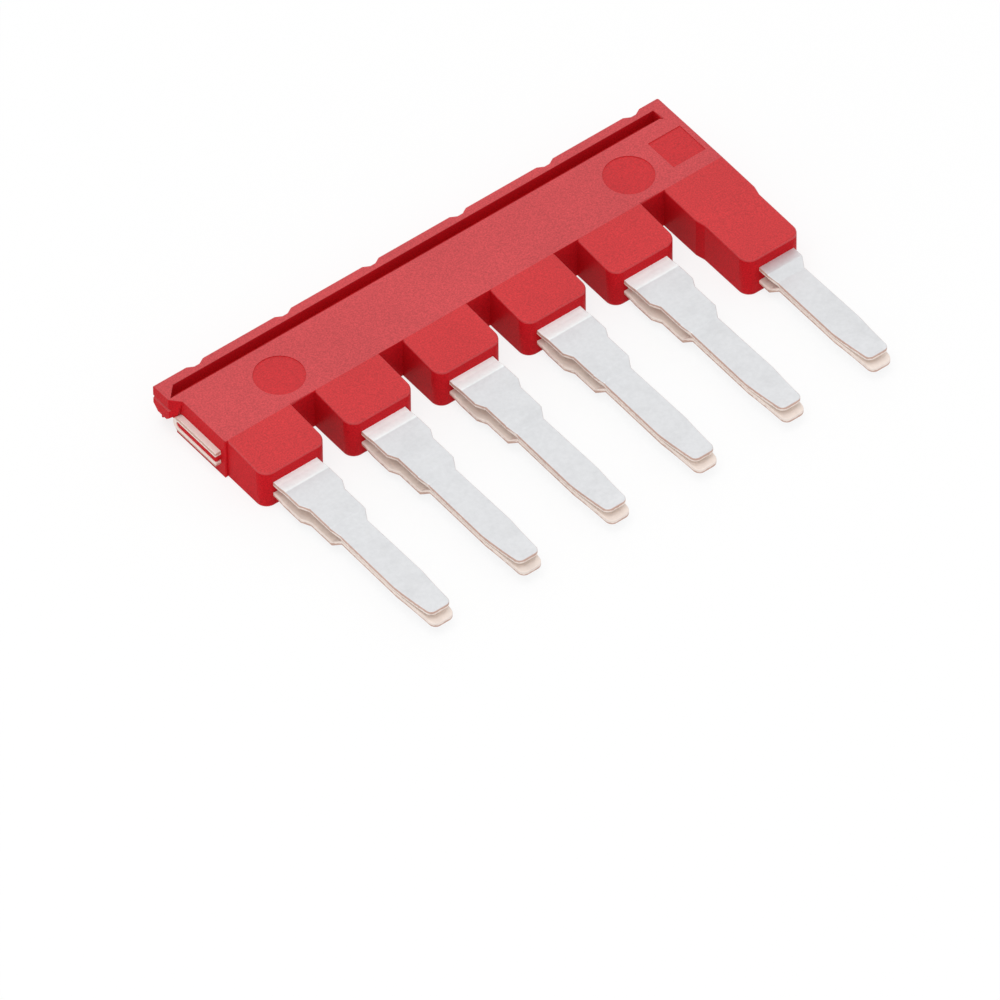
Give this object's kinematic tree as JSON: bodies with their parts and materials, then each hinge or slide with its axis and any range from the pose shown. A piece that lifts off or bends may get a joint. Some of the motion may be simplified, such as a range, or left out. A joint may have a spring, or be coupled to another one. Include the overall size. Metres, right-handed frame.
{
  "type": "terminal block jumper bar",
  "caption": "Insulated comb jumper bar for DIN rail terminal blocks: a flat resin housing with a longer coding finger, moulded round a folded sheet comb of paired plug-in tongues.",
  "frame": {"origin": "centre of the bounding box in X and Y, at the flat back of the housing in Z", "axes": "+X runs along the bar from the parted end to the coding finger, +Y points from the tongue tips to the head, +Z comes out of the face"},
  "size_m": [0.0358, 0.0228, 0.003],
  "materials": {
    "red_polyamide": "semi-matt moulded resin",
    "tinned_copper": "satin tin plate"
  },
  "bodies": {
    "root": {"housing": "red_polyamide", "contact_comb": "tinned_copper"}
  },
  "joints": []
}
